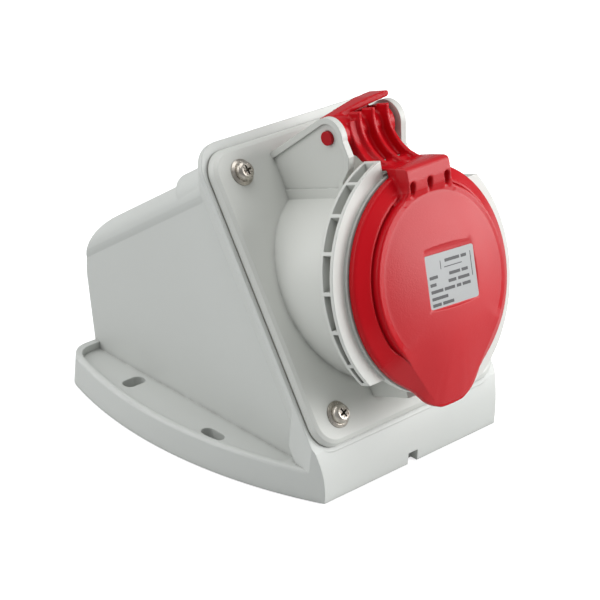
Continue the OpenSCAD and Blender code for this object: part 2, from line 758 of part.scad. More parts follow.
// Side views of the arm, as (lid y, lid z) points from the lid's disc to the hinge.
module neck_plan()
    polygon([[0, face_h - 0.2], [dome_c, face_h + 0.2], [dome_c + 2.4, face_h + 1.4], [arm_in - 5, face_h + 1.9],
        [arm_in - 1, face_h + 1.8], [arm_in + 0.1, face_h + 1.3], [arm_in + 0.6, face_h + 0.2], [arm_in + 0.85, 2],
        [arm_in + 0.85, -4], [arm_in, -4], [arm_in, 0.05], [arm_in - 2, 0.05], [arm_in - 3.4, 2.6], [0, 5]]);

module rib_plan()
    difference() {
        polygon([[arm_in + 0.3, 1], [arm_in + 0.4, 6], [hinge_up + 7.2, 6], [hinge_up + 7.2, -hinge_in + 3.5],
            [hinge_up - 3.8, -hinge_in + 0.6], [hinge_up - 8, -hinge_in + 7], [arm_in, -5.5], [arm_in, -1.7]]);
        translate(arm_bend) circle(arm_bend_r);
    }

module web_plan()
    difference() {
        polygon([[arm_in, 2.3], [arm_in, -5.7], [arm_in + 2, -9.5], [hinge_up - 8.2, -hinge_in + 7.1],
            [hinge_up - 5, -hinge_in + 1], [hinge_up + 2, -hinge_in + 1], [hinge_up + 4.8, -hinge_in + 7.3],
            arm_bend, [arm_in + 1.8, arm_bend[1]]]);
        translate(arm_bend) circle(arm_bend_r + 1.5);
    }

// Lever plate along the top of the ribs, lower and further back at its left end.
module lever_plate()
    intersection() {
        at_lid() translate([0, hinge_up, -hinge_in - 8]) linear_extrude(14)
            polygon([[-arm_end, 4.4], [-arm_end, 6.4], [-3.4, 8.6], [4.9, 10.2], [arm_end - 0.4, 10.9],
                [arm_end + 0.1, 9.9], [arm_end - 0.7, 8.7], [0, 7]]);
        at_lid() translate([0, hinge_up, -hinge_in]) rotate([-90, 0, 0]) linear_extrude(14)
            polygon([[-arm_end - 1, 6], [-arm_end - 1, 1.2], [arm_end + 1, -4.5], [arm_end + 1, 5]]);
    }

module lid_arm()
    difference() {
        union() {
            intersection() {
                lid_slab(-20, 20) neck_plan();
                at_lid() translate([0, 0, -10]) linear_extrude(30) neck_form();
            }
            for (x = rib_x) lid_slab(x - rib_t / 2, x + rib_t / 2) rib_plan();
            lid_slab(-guard_top_x + 0.6, rib_x[2] + rib_t / 2) web_plan();
            at_hinge() translate([0, 0, -arm_end]) cylinder(r = knuckle_r, h = knuckle_l);
            at_hinge() translate([0, 0, rib_x[2]]) cylinder(r = knuckle_r, h = arm_end - spring_wire - 0.3 - rib_x[2]);
            at_hinge() translate([0, 0, -arm_end + 1]) cylinder(r = barrel_r, h = arm_end - 1 + rib_x[2]);
            lever_plate();
        }
        at_hinge() translate([0, 0, -40]) cylinder(r = pin_r + pin_gap, h = 80);
        at_hinge() translate([0, 0, arm_end - spring_l - soft_gap])
            cylinder(r = spring_r + soft_gap, h = spring_l + 10);
        for (x = [-9.3, 0, 9.3]) at_lid() translate([x, dome_c + 0.8, face_h - 1]) linear_extrude(20) teardrop();
    }

module teardrop() {
    circle(0.9);
    translate([0, 3.6]) circle(1.4);
    polygon([[-0.88, 0], [0.88, 0], [1.36, 3.4], [-1.36, 3.4]]);
}

module lid()
    color(red) {
        at_lid() difference() {
            union() {
                lid_cap();
                lid_tab();
            }
            lid_hollow();
            label_seat();
        }
        lid_arm();
    }

module lid_gasket()
    color([0.15, 0.15, 0.16]) at_lid() difference() {
        translate([0, 0, ring_front + soft_gap]) cylinder(r = lid_d / 2 - lid_wall - soft_gap - 0.2, h = 2);
        translate([0, 0, -1]) cylinder(r = collar_in_d / 2 + 0.5, h = 6);
    }

module lid_label()
    color([0.93, 0.94, 0.95]) at_lid() translate([label_x, 0, face_h + dome_h - label_drop]) rotate([0, 0, -3.5])
        rounded_box(label_w / 2, -label_l / 2, label_l / 2, 1.4, 0, 0.2);

wall_box();
panel_gasket();
socket_panel();
panel_screw_1();
panel_screw_2();
panel_screw_3();
panel_screw_4();
panel_washer_1();
panel_washer_2();
panel_washer_3();
panel_washer_4();
contact_carrier();
carrier_screw_1();
carrier_screw_2();
contact_l1();
contact_l2();
contact_l3();
contact_earth();
terminal_screw_l1();
terminal_screw_l2();
terminal_screw_l3();
terminal_screw_earth();
hinge_pin();
lid_spring();
lid();
lid_gasket();
lid_label();
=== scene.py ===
import json
import math

import bpy
from mathutils import Matrix, Vector


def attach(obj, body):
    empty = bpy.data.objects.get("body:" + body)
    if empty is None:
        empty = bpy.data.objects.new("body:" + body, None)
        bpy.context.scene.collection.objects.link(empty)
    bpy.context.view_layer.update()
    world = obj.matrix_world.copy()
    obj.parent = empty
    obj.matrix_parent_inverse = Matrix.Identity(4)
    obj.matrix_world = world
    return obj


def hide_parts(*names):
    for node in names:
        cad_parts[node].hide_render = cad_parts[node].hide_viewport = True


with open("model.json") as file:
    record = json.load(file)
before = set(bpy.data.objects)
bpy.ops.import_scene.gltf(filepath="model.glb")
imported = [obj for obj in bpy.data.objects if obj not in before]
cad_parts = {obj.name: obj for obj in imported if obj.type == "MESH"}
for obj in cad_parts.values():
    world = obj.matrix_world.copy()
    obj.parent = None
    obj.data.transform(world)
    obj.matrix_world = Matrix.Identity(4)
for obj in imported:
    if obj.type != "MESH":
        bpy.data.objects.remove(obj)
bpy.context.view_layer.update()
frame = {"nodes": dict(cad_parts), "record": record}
print("frame loaded")

# Where the moulding's own directions lie, in the row frame (metres)
layout = {
    "lidCentre": (-0.0033, -0.063987, 0.077552),
    "lidTilt": math.radians(69),
    "panelFoot": (0.0, -0.060, 0.0192),
    "panelTilt": math.radians(53),
}


# Camera
cameraSetup = {
    "place": (-0.6240, -0.5441, 0.4469),
    "azimuth": math.radians(-48.99),
    "elevation": math.radians(26.06),
    "roll": math.radians(5.42),
    "lens": 144.64,
}


def addCamera(setup):
    a, e, r = setup["azimuth"], setup["elevation"], setup["roll"]
    back = Vector((math.sin(a) * math.cos(e), -math.cos(a) * math.cos(e), math.sin(e)))
    level = Vector((math.cos(a), math.sin(a), 0))
    up = back.cross(level)
    side = level * math.cos(r) + up * math.sin(r)
    top = up * math.cos(r) - level * math.sin(r)
    turn = Matrix((side, top, back)).transposed().to_4x4()
    bpy.ops.object.camera_add()
    camera = bpy.context.object
    camera.name = "viewCamera"
    camera.matrix_world = Matrix.Translation(setup["place"]) @ turn
    camera.data.lens = setup["lens"]
    camera.data.sensor_width = 36
    camera.data.clip_end = 20
    bpy.context.scene.camera = camera


addCamera(cameraSetup)

# Lights, floor and world
studio = {
    "aimAt": (0, 0, 0.05),
    "roomColour": (0.96, 0.98, 1.0, 1),
    "worldStrength": 0.32,
    "keyPlace": (1.25, -1.5, 0.85),
    "keySize": 1.3,
    "keyPower": 34.0,
    "fillPlace": (-1.45, 1.15, 0.95),
    "fillSize": 1.8,
    "fillPower": 20.0,
    "topPlace": (0.0, 0.2, 1.8),
    "topSize": 1.6,
    "topPower": 15.0,
    "sidePlace": (1.7, -0.72, 0.16),
    "sideSize": 0.8,
    "sidePower": 9.0,
}


def addSoftbox(name, place, size, power):
    bpy.ops.object.light_add(type="AREA", location=place)
    light = bpy.context.object
    light.name = name
    light.data.shape = "SQUARE"
    light.data.size = size
    light.data.energy = power
    aim = Vector(studio["aimAt"]) - Vector(place)
    light.rotation_euler = aim.to_track_quat("-Z", "Y").to_euler()


def addStudio(setup):
    for lamp in ("key", "fill", "top", "side"):
        addSoftbox(lamp + "Light", setup[lamp + "Place"], setup[lamp + "Size"], setup[lamp + "Power"])
    world = bpy.context.scene.world or bpy.data.worlds.new("room")
    bpy.context.scene.world = world
    world.use_nodes = True
    nodes, links = world.node_tree.nodes, world.node_tree.links
    nodes.clear()
    out = nodes.new("ShaderNodeOutputWorld")
    mix = nodes.new("ShaderNodeMixShader")
    room = nodes.new("ShaderNodeBackground")
    seen = nodes.new("ShaderNodeBackground")
    path = nodes.new("ShaderNodeLightPath")
    room.inputs["Color"].default_value = setup["roomColour"]
    room.inputs["Strength"].default_value = setup["worldStrength"]
    seen.inputs["Color"].default_value = (1, 1, 1, 1)
    seen.inputs["Strength"].default_value = 1.0
    links.new(path.outputs["Is Camera Ray"], mix.inputs["Fac"])
    links.new(room.outputs[0], mix.inputs[1])
    links.new(seen.outputs[0], mix.inputs[2])
    links.new(mix.outputs[0], out.inputs["Surface"])


addStudio(studio)

floorSetup = {"size": 6.0, "under": 0.0004, "paper": (0.62, 0.63, 0.63, 1), "whiteness": 0.72}


def addFloor(setup):
    bpy.ops.mesh.primitive_plane_add(size=setup["size"], location=(0, 0, -setup["under"]))
    floor = bpy.context.object
    floor.name = "floor"
    bpy.ops.object.transform_apply(location=True, rotation=True, scale=True)
    paper = bpy.data.materials.new("floorPaper")
    paper.use_nodes = True
    nodes, links = paper.node_tree.nodes, paper.node_tree.links
    nodes.clear()
    out = nodes.new("ShaderNodeOutputMaterial")
    add = nodes.new("ShaderNodeAddShader")
    matt = nodes.new("ShaderNodeBsdfDiffuse")
    glow = nodes.new("ShaderNodeEmission")
    path = nodes.new("ShaderNodeLightPath")
    lift = nodes.new("ShaderNodeMath")
    lift.operation = "MULTIPLY"
    lift.inputs[1].default_value = setup["whiteness"]
    matt.inputs["Color"].default_value = setup["paper"]
    links.new(path.outputs["Is Camera Ray"], lift.inputs[0])
    links.new(lift.outputs[0], glow.inputs["Strength"])
    links.new(matt.outputs[0], add.inputs[0])
    links.new(glow.outputs[0], add.inputs[1])
    links.new(add.outputs[0], out.inputs["Surface"])
    floor.data.materials.append(paper)


addFloor(floorSetup)
bpy.context.scene.view_settings.view_transform = "Standard"
print("camera, lights and floor ready")


# Shared surface effects, each a node group with named sockets
def startGroup(name, inputs, outputs):
    group = bpy.data.node_groups.new(name, "ShaderNodeTree")
    for label, kind, value in inputs:
        socket = group.interface.new_socket(label, in_out="INPUT", socket_type=kind)
        if value is not None:
            socket.default_value = value
    for label, kind in outputs:
        group.interface.new_socket(label, in_out="OUTPUT", socket_type=kind)
    return group, group.nodes.new("NodeGroupInput"), group.nodes.new("NodeGroupOutput")


def mathNode(nodes, links, operation, *values, clamp=False):
    node = nodes.new("ShaderNodeMath")
    node.operation = operation
    node.use_clamp = clamp
    for slot, value in enumerate(values):
        if isinstance(value, (int, float)):
            node.inputs[slot].default_value = value
        else:
            links.new(value, node.inputs[slot])
    return node.outputs[0]


def rangeNode(nodes, links, value, low, high, toLow=0.0, toHigh=1.0):
    node = nodes.new("ShaderNodeMapRange")
    links.new(value, node.inputs["Value"])
    for label, number in (("From Min", low), ("From Max", high), ("To Min", toLow), ("To Max", toHigh)):
        node.inputs[label].default_value = number
    return node.outputs["Result"]


def noiseNode(nodes, links, vector, scale, detail=2.0, roughness=0.5):
    node = nodes.new("ShaderNodeTexNoise")
    node.inputs["Detail"].default_value = detail
    node.inputs["Roughness"].default_value = roughness
    if isinstance(scale, (int, float)):
        node.inputs["Scale"].default_value = scale
    else:
        links.new(scale, node.inputs["Scale"])
    links.new(vector, node.inputs["Vector"])
    return node.outputs["Fac"]


# Fine spark-eroded grain of a moulding: a height and a small change of gloss
def makeMouldGrain():
    group, given, result = startGroup(
        "mouldGrain",
        [("Vector", "NodeSocketVector", None), ("Scale", "NodeSocketFloat", 900.0)],
        [("Height", "NodeSocketFloat"), ("Gloss", "NodeSocketFloat")],
    )
    nodes, links = group.nodes, group.links
    fine = noiseNode(nodes, links, given.outputs["Vector"], given.outputs["Scale"], 3.0, 0.6)
    coarseScale = mathNode(nodes, links, "MULTIPLY", given.outputs["Scale"], 0.02)
    coarse = noiseNode(nodes, links, given.outputs["Vector"], coarseScale, 2.0, 0.5)
    links.new(fine, result.inputs["Height"])
    links.new(rangeNode(nodes, links, coarse, 0.3, 0.7, -1.0, 1.0), result.inputs["Gloss"])
    return group


# Slow drift of tone over a big moulding, with faint handling marks
def makeToneDrift():
    group, given, result = startGroup(
        "toneDrift",
        [("Vector", "NodeSocketVector", None), ("Scale", "NodeSocketFloat", 18.0)],
        [("Drift", "NodeSocketFloat"), ("Marks", "NodeSocketFloat")],
    )
    nodes, links = group.nodes, group.links
    slow = noiseNode(nodes, links, given.outputs["Vector"], given.outputs["Scale"], 2.0, 0.5)
    links.new(rangeNode(nodes, links, slow, 0.32, 0.68), result.inputs["Drift"])
    markScale = mathNode(nodes, links, "MULTIPLY", given.outputs["Scale"], 9.0)
    marks = noiseNode(nodes, links, given.outputs["Vector"], markScale, 6.0, 0.62)
    links.new(rangeNode(nodes, links, marks, 0.60, 0.74), result.inputs["Marks"])
    return group


# Rounded edges, and where they rub
def makeEdges():
    group, given, result = startGroup(
        "edges",
        [("Radius", "NodeSocketFloat", 0.0005)],
        [("Normal", "NodeSocketVector"), ("Edge", "NodeSocketFloat")],
    )
    nodes, links = group.nodes, group.links
    bevel = nodes.new("ShaderNodeBevel")
    bevel.samples = 6
    links.new(given.outputs["Radius"], bevel.inputs["Radius"])
    shape = nodes.new("ShaderNodeNewGeometry")
    dot = nodes.new("ShaderNodeVectorMath")
    dot.operation = "DOT_PRODUCT"
    links.new(bevel.outputs["Normal"], dot.inputs[0])
    links.new(shape.outputs["Normal"], dot.inputs[1])
    links.new(bevel.outputs["Normal"], result.inputs["Normal"])
    links.new(rangeNode(nodes, links, dot.outputs["Value"], 0.99, 0.80), result.inputs["Edge"])
    return group


# Dust that settles in corners, with painted shade: ambient occlusion darkens corners, seams and recesses
# where shade falls
def makeCornerDustAndShade():
    group, given, result = startGroup(
        "cornerDustAndShade",
        [("Vector", "NodeSocketVector", None), ("Reach", "NodeSocketFloat", 0.006)],
        [("DustAndShade", "NodeSocketFloat")],
    )
    nodes, links = group.nodes, group.links
    hollow = nodes.new("ShaderNodeAmbientOcclusion")
    hollow.samples = 6
    links.new(given.outputs["Reach"], hollow.inputs["Distance"])
    shade = rangeNode(nodes, links, hollow.outputs["AO"], 0.75, 0.25)
    grain = noiseNode(nodes, links, given.outputs["Vector"], 240.0, 4.0, 0.6)
    patch = rangeNode(nodes, links, grain, 0.3, 0.7, 0.35, 1.0)
    links.new(mathNode(nodes, links, "MULTIPLY", shade, patch), result.inputs["DustAndShade"])
    return group


# Where the lid's satin face lies: the dome, its flow down to the thumb tab, and the front of the neck
# Distances in the lid's own frame (metres) at which each part of the mask fades
satinEdges = {"face": (0.0316, 0.0312), "flow": (0.55, 0.70), "rim": (0.0462, 0.0455),
              "neck": (0.0335, 0.0340), "front": (0.0040, 0.0050)}


def makeSatinFace():
    group, given, result = startGroup(
        "satinFace",
        [("Vector", "NodeSocketVector", None)],
        [("Mask", "NodeSocketFloat")],
    )
    nodes, links = group.nodes, group.links
    place = nodes.new("ShaderNodeMapping")
    place.vector_type = "TEXTURE"
    place.inputs["Location"].default_value = layout["lidCentre"]
    place.inputs["Rotation"].default_value = (layout["lidTilt"], 0, 0)
    links.new(given.outputs["Vector"], place.inputs["Vector"])
    split = nodes.new("ShaderNodeSeparateXYZ")
    links.new(place.outputs["Vector"], split.inputs[0])
    across = mathNode(nodes, links, "MULTIPLY", split.outputs["X"], split.outputs["X"])
    along = mathNode(nodes, links, "MULTIPLY", split.outputs["Y"], split.outputs["Y"])
    radius = mathNode(nodes, links, "SQRT", mathNode(nodes, links, "ADD", across, along))
    face = rangeNode(nodes, links, radius, *satinEdges["face"])
    below = mathNode(nodes, links, "MULTIPLY", split.outputs["Y"], -1.0)
    downward = mathNode(nodes, links, "DIVIDE", below, radius)
    flow = rangeNode(nodes, links, downward, *satinEdges["flow"])
    inner = rangeNode(nodes, links, radius, *satinEdges["rim"])
    flow = mathNode(nodes, links, "MULTIPLY", flow, inner)
    neck = rangeNode(nodes, links, split.outputs["Y"], *satinEdges["neck"])
    front = rangeNode(nodes, links, split.outputs["Z"], *satinEdges["front"])
    neck = mathNode(nodes, links, "MULTIPLY", neck, front)
    both = mathNode(nodes, links, "MAXIMUM", mathNode(nodes, links, "MAXIMUM", face, flow), neck)
    links.new(both, result.inputs["Mask"])
    return group


effects = {
    "grain": makeMouldGrain(),
    "satin": makeSatinFace(),
    "drift": makeToneDrift(),
    "edges": makeEdges(),
    "dustAndShade": makeCornerDustAndShade(),
}


def placeGroup(nodes, group, **values):
    node = nodes.new("ShaderNodeGroup")
    node.node_tree = group
    for label, value in values.items():
        node.inputs[label].default_value = value
    return node


def mixColour(nodes, links, factor, first, second):
    node = nodes.new("ShaderNodeMix")
    node.data_type = "RGBA"
    links.new(factor, node.inputs["Factor"])
    for slot, value in ((6, first), (7, second)):
        if isinstance(value, tuple):
            node.inputs[slot].default_value = (*value, 1)
        else:
            links.new(value, node.inputs[slot])
    return node.outputs[2]


def scaled(colour, by):
    return tuple(min(1.0, c * by) for c in colour)


# A moulded plastic: grain, drift, rubbed edges, and dust with painted shade in corners and seams, from the
# shared groups
def mouldedPlastic(name, look):
    material = bpy.data.materials.new(name)
    material.use_nodes = True
    nodes, links = material.node_tree.nodes, material.node_tree.links
    surface = nodes["Principled BSDF"]
    place = nodes.new("ShaderNodeTexCoord").outputs["Object"]
    grain = placeGroup(nodes, effects["grain"], Scale=look["grainScale"])
    drift = placeGroup(nodes, effects["drift"], Scale=look["driftScale"])
    edges = placeGroup(nodes, effects["edges"], Radius=look["edgeRadius"])
    dustAndShade = placeGroup(nodes, effects["dustAndShade"], Reach=look["dustAndShadeReach"])
    for node in (grain, drift, dustAndShade):
        links.new(place, node.inputs["Vector"])
    drifted = scaled(look["colour"], look["driftDark"])
    colour = mixColour(nodes, links, drift.outputs["Drift"], drifted, look["colour"])
    marks = mathNode(nodes, links, "MULTIPLY", drift.outputs["Marks"], look["marks"])
    colour = mixColour(nodes, links, marks, colour, scaled(look["colour"], 0.8))
    rub = mathNode(nodes, links, "MULTIPLY", edges.outputs["Edge"], look["rub"])
    colour = mixColour(nodes, links, rub, colour, look["rubColour"])
    # Dust patches and painted shade: corners, seams and recesses are darkened towards the dust colour
    dirtAndShade = mathNode(nodes, links, "MULTIPLY", dustAndShade.outputs["DustAndShade"], look["dustAndShade"])
    colour = mixColour(nodes, links, dirtAndShade, colour, look["dustAndShadeColour"])
    links.new(colour, surface.inputs["Base Color"])
    gloss = mathNode(nodes, links, "MULTIPLY_ADD", grain.outputs["Gloss"], look["glossDrift"],
                     look["roughness"])
    gloss = mathNode(nodes, links, "MULTIPLY_ADD", dirtAndShade, 0.25, gloss, clamp=True)
    height = grain.outputs["Height"]
    if "satin" in look:
        satin = placeGroup(nodes, effects["satin"])
        links.new(place, satin.inputs["Vector"])
        gloss = mathNode(nodes, links, "MULTIPLY_ADD", satin.outputs["Mask"], look["satin"], gloss)
        lift = rangeNode(nodes, links, satin.outputs["Mask"], 0.0, 1.0, 1.0, look["satinGrain"])
        height = mathNode(nodes, links, "MULTIPLY", height, lift)
        sheen = mathNode(nodes, links, "MULTIPLY_ADD", satin.outputs["Mask"], look["satinSheen"],
                         look["specular"])
        links.new(sheen, surface.inputs["Specular IOR Level"])
    links.new(gloss, surface.inputs["Roughness"])
    bump = nodes.new("ShaderNodeBump")
    bump.inputs["Strength"].default_value = look["grainDepth"]
    bump.inputs["Distance"].default_value = 0.0001
    links.new(height, bump.inputs["Height"])
    links.new(edges.outputs["Normal"], bump.inputs["Normal"])
    links.new(bump.outputs["Normal"], surface.inputs["Normal"])
    surface.inputs["Specular IOR Level"].default_value = look.get("specular", 0.5)
    return material


# In each look, the dust amount, colour and reach also set the painted shade that darkens corners and seams
greyBoxLook = {
    "colour": (0.63, 0.645, 0.62), "roughness": 0.42, "glossDrift": 0.03,
    "grainScale": 1500.0, "grainDepth": 0.22,
    "driftScale": 16.0, "driftDark": 0.975, "marks": 0.05, "edgeRadius": 0.0006, "rub": 0.25,
    "rubColour": (0.76, 0.78, 0.75), "dustAndShade": 0.75, "dustAndShadeColour": (0.13, 0.13, 0.115), "dustAndShadeReach": 0.0035,
}
greyPanelLook = dict(greyBoxLook, colour=(0.63, 0.64, 0.605), roughness=0.38, driftScale=22.0,
                     edgeRadius=0.0005)
lidRedLook = {
    "colour": (0.52, 0.004, 0.010), "roughness": 0.22, "glossDrift": 0.03, "satin": 0.20, "satinGrain": 3.5,
    "satinSheen": 0.22, "grainScale": 1700.0, "grainDepth": 0.2,
    "driftScale": 24.0, "driftDark": 0.94, "marks": 0.06, "edgeRadius": 0.0006, "rub": 0.3,
    "rubColour": (0.70, 0.015, 0.025), "specular": 0.16, "dustAndShade": 0.25,
    "dustAndShadeColour": (0.20, 0.008, 0.01), "dustAndShadeReach": 0.004,
}
pinRedLook = dict(lidRedLook, colour=(0.42, 0.008, 0.014), roughness=0.35)
del pinRedLook["satin"]
sealCreamLook = {
    "colour": (0.66, 0.58, 0.42), "roughness": 0.85, "glossDrift": 0.05,
    "grainScale": 500.0, "grainDepth": 0.9,
    "driftScale": 60.0, "driftDark": 0.85, "marks": 0.2, "edgeRadius": 0.0002, "rub": 0.0,
    "rubColour": (0.7, 0.6, 0.45), "dustAndShade": 0.4, "dustAndShadeColour": (0.25, 0.21, 0.15), "dustAndShadeReach": 0.002,
}
sealBlackLook = dict(sealCreamLook, colour=(0.02, 0.02, 0.022), roughness=0.6,
                     dustAndShadeColour=(0.10, 0.10, 0.09))
carrierBlackLook = dict(greyBoxLook, colour=(0.022, 0.023, 0.024), roughness=0.45,
                        rubColour=(0.06, 0.06, 0.06), dustAndShadeColour=(0.10, 0.10, 0.09), dustAndShade=0.3)
labelFilmLook = {
    "colour": (0.37, 0.38, 0.38), "roughness": 0.30, "glossDrift": 0.04,
    "grainScale": 700.0, "grainDepth": 0.08,
    "driftScale": 90.0, "driftDark": 0.96, "marks": 0.12, "edgeRadius": 0.0001, "rub": 0.3,
    "rubColour": (0.75, 0.78, 0.82), "dustAndShade": 0.15, "dustAndShadeColour": (0.30, 0.30, 0.30), "dustAndShadeReach": 0.002,
}
labelInkLook = dict(labelFilmLook, colour=(0.025, 0.025, 0.028), roughness=0.4,
                    rubColour=(0.05, 0.05, 0.05))


# A worked metal: fine lines along one direction, tarnish and painted shade in the hollows, bright edges
def workedMetal(name, look):
    material = bpy.data.materials.new(name)
    material.use_nodes = True
    nodes, links = material.node_tree.nodes, material.node_tree.links
    surface = nodes["Principled BSDF"]
    coordinates = nodes.new("ShaderNodeTexCoord").outputs["Object"]
    stretch = nodes.new("ShaderNodeMapping")
    stretch.inputs["Scale"].default_value = look["stretch"]
    links.new(coordinates, stretch.inputs["Vector"])
    lines = noiseNode(nodes, links, stretch.outputs["Vector"], look["lineScale"], 4.0, 0.6)
    drift = placeGroup(nodes, effects["drift"], Scale=look["driftScale"])
    edges = placeGroup(nodes, effects["edges"], Radius=look["edgeRadius"])
    dustAndShade = placeGroup(nodes, effects["dustAndShade"], Reach=look["dustAndShadeReach"])
    links.new(coordinates, drift.inputs["Vector"])
    links.new(coordinates, dustAndShade.inputs["Vector"])
    colour = mixColour(nodes, links, drift.outputs["Drift"], look["dark"], look["colour"])
    worn = mathNode(nodes, links, "MULTIPLY", edges.outputs["Edge"], look["worn"])
    colour = mixColour(nodes, links, worn, colour, look["bright"])
    # Tarnish and painted shade: the hollows are darkened towards the dust colour
    dirtAndShade = mathNode(nodes, links, "MULTIPLY", dustAndShade.outputs["DustAndShade"], look["dustAndShade"])
    colour = mixColour(nodes, links, dirtAndShade, colour, look["dustAndShadeColour"])
    links.new(colour, surface.inputs["Base Color"])
    surface.inputs["Metallic"].default_value = 1.0
    smoothest, roughest = look["roughness"] - 0.08, look["roughness"] + 0.1
    links.new(rangeNode(nodes, links, lines, 0.3, 0.7, smoothest, roughest), surface.inputs["Roughness"])
    bump = nodes.new("ShaderNodeBump")
    bump.inputs["Strength"].default_value = look["lineDepth"]
    bump.inputs["Distance"].default_value = 0.00005
    links.new(lines, bump.inputs["Height"])
    links.new(edges.outputs["Normal"], bump.inputs["Normal"])
    links.new(bump.outputs["Normal"], surface.inputs["Normal"])
    return material


screwSteelLook = {
    "colour": (0.60, 0.56, 0.50), "dark": (0.42, 0.38, 0.33), "bright": (0.80, 0.77, 0.72), "worn": 0.5,
    "roughness": 0.30,
    "stretch": (1.0, 1.0, 1.0), "lineScale": 900.0, "lineDepth": 0.2, "driftScale": 300.0,
    "edgeRadius": 0.0002, "dustAndShade": 0.8, "dustAndShadeColour": (0.10, 0.075, 0.05), "dustAndShadeReach": 0.0012,
}
springSteelLook = dict(screwSteelLook, colour=(0.30, 0.22, 0.16), dark=(0.16, 0.11, 0.08),
                       bright=(0.5, 0.42, 0.34), roughness=0.36)
contactBrassLook = dict(screwSteelLook, colour=(0.80, 0.58, 0.27), dark=(0.62, 0.42, 0.18),
                        bright=(0.9, 0.7, 0.4), roughness=0.25)

finishes = {
    "grey_box": mouldedPlastic("greyBox", greyBoxLook),
    "grey_panel": mouldedPlastic("greyPanel", greyPanelLook),
    "red_lid": mouldedPlastic("lidRed", lidRedLook),
    "red_pin": mouldedPlastic("pinRed", pinRedLook),
    "seal": mouldedPlastic("sealCream", sealCreamLook),
    "seal_dark": mouldedPlastic("sealBlack", sealBlackLook),
    "carrier": mouldedPlastic("carrierBlack", carrierBlackLook),
    "label": mouldedPlastic("labelFilm", labelFilmLook),
    "ink": mouldedPlastic("labelInk", labelInkLook),
    "steel": workedMetal("screwSteel", screwSteelLook),
    "spring": workedMetal("springSteel", springSteelLook),
    "brass": workedMetal("contactBrass", contactBrassLook),
}

slotOfNode = {part["node"]: part["material_slot"] for part in frame["record"]["subparts"]}
for nodeName, solid in frame["nodes"].items():
    finish = finishes[slotOfNode[nodeName]]
    for slot in solid.material_slots:
        slot.material = finish
print("materials placed on", len(frame["nodes"]), "solids")


def lidPlace():
    return Matrix.Translation(layout["lidCentre"]) @ Matrix.Rotation(layout["lidTilt"], 4, "X")


def panelPlace():
    return Matrix.Translation(layout["panelFoot"]) @ Matrix.Rotation(layout["panelTilt"], 4, "X")


def only(piece):
    # select one piece and nothing else
    if bpy.context.object and bpy.context.object.mode != "OBJECT":
        bpy.ops.object.mode_set(mode="OBJECT")
    bpy.ops.object.select_all(action="DESELECT")
    piece.select_set(True)
    bpy.context.view_layer.objects.active = piece


def settle(piece, place):
    # put a piece at its place and leave that place in its mesh
    only(piece)
    piece.matrix_world = place @ piece.matrix_world
    bpy.ops.object.transform_apply(location=True, rotation=True, scale=True)


def useModifier(piece, kind, **values):
    only(piece)
    modifier = piece.modifiers.new(kind.lower(), kind)
    for label, value in values.items():
        setattr(modifier, label, value)
    bpy.ops.object.modifier_apply(modifier=modifier.name)


def cutWith(piece, cutter, operation="DIFFERENCE"):
    useModifier(piece, "BOOLEAN", operation=operation, object=cutter, solver="EXACT")
    bpy.data.objects.remove(cutter)


def finishPiece(piece, body, finish, angle=30.0):
    only(piece)
    bpy.ops.object.shade_smooth_by_angle(angle=math.radians(angle))
    piece.data.materials.clear()
    piece.data.materials.append(finish)
    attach(piece, body)


def copySolid(nodeName, name):
    # a merged copy of a solid's mesh, to be shaped further
    piece = bpy.data.objects.new(name, frame["nodes"][nodeName].data.copy())
    bpy.context.scene.collection.objects.link(piece)
    only(piece)
    bpy.ops.object.mode_set(mode="EDIT")
    bpy.ops.mesh.select_all(action="SELECT")
    bpy.ops.mesh.remove_doubles(threshold=0.000002)
    bpy.ops.object.mode_set(mode="OBJECT")
    return piece


# Lid face: rings are extruded one after another, then the lower part flows out into the thumb tab
# Lengths are in millimetres here, and angles in degrees from the middle of the tab
lidFace = {
    "steps": 256,
    "inside": [(31.6, 5.4), (32.0, 3.7), (33.3, 3.2), (38.6, 1.9), (38.8, 0.1), (38.9, 0.0)],
    "side": [(40.8, 0.0), (41.1, 0.25), (41.15, 1.0), (41.15, 2.0), (41.0, 2.4), (40.7, 2.7)],
    "shoulder": [(40.0, 3.05), (38.7, 3.7), (37.3, 4.35), (36.2, 4.9), (35.6, 5.15), (35.3, 5.2),
                 (35.0, 5.05)],
    "groove": [(34.75, 4.6), (34.5, 4.3), (34.3, 4.35), (34.2, 4.7), (34.18, 5.6), (34.15, 6.7),
               (34.05, 7.25)],
    "band": [(33.85, 7.55), (33.5, 7.68), (32.8, 7.74), (31.8, 7.76), (31.3, 7.8)],
    "dome": [30.8, 30.0, 28.8, 27.0, 25.0, 23.0, 20.0, 17.0, 14.0, 11.0, 8.0, 5.0, 2.0],
    "domeEdge": 31.4, "domeFoot": 7.7, "domeRise": 3.95,
    "tabLean": math.radians(1.0),
    "tabOutline": [(0, 47.0), (7, 47.1), (11, 46.4), (15, 45.5), (18, 44.5), (21, 43.3), (25, 42.0),
                   (29, 41.4), (34, 41.15)],
    "ridgeStart": (26.2, 21.95), "ridgeEnd": (9.3, 44.4), "ridgeHigh": 7.5, "ridgeLow": 2.5,
    "rim": 41.15, "flowFrom": 38.0, "flowTo": 64.0, "calmRadius": 21.0,
}


def domeHeight(r):
    return lidFace["domeFoot"] + lidFace["domeRise"] * (1 - (r / lidFace["domeEdge"]) ** 2)


def smooth(x):
    x = max(0.0, min(1.0, x))
    return x * x * (3 - 2 * x)


def tabReach(degrees):
    # outline radius of the lid at an angle from the tab's middle
    points = lidFace["tabOutline"]
    for (a0, r0), (a1, r1) in zip(points, points[1:]):
        if degrees <= a1:
            t = (degrees - a0) / (a1 - a0)
            return r0 + (r1 - r0) * smooth(t) * 0.4 + (r1 - r0) * 0.6 * t
    return points[-1][1]


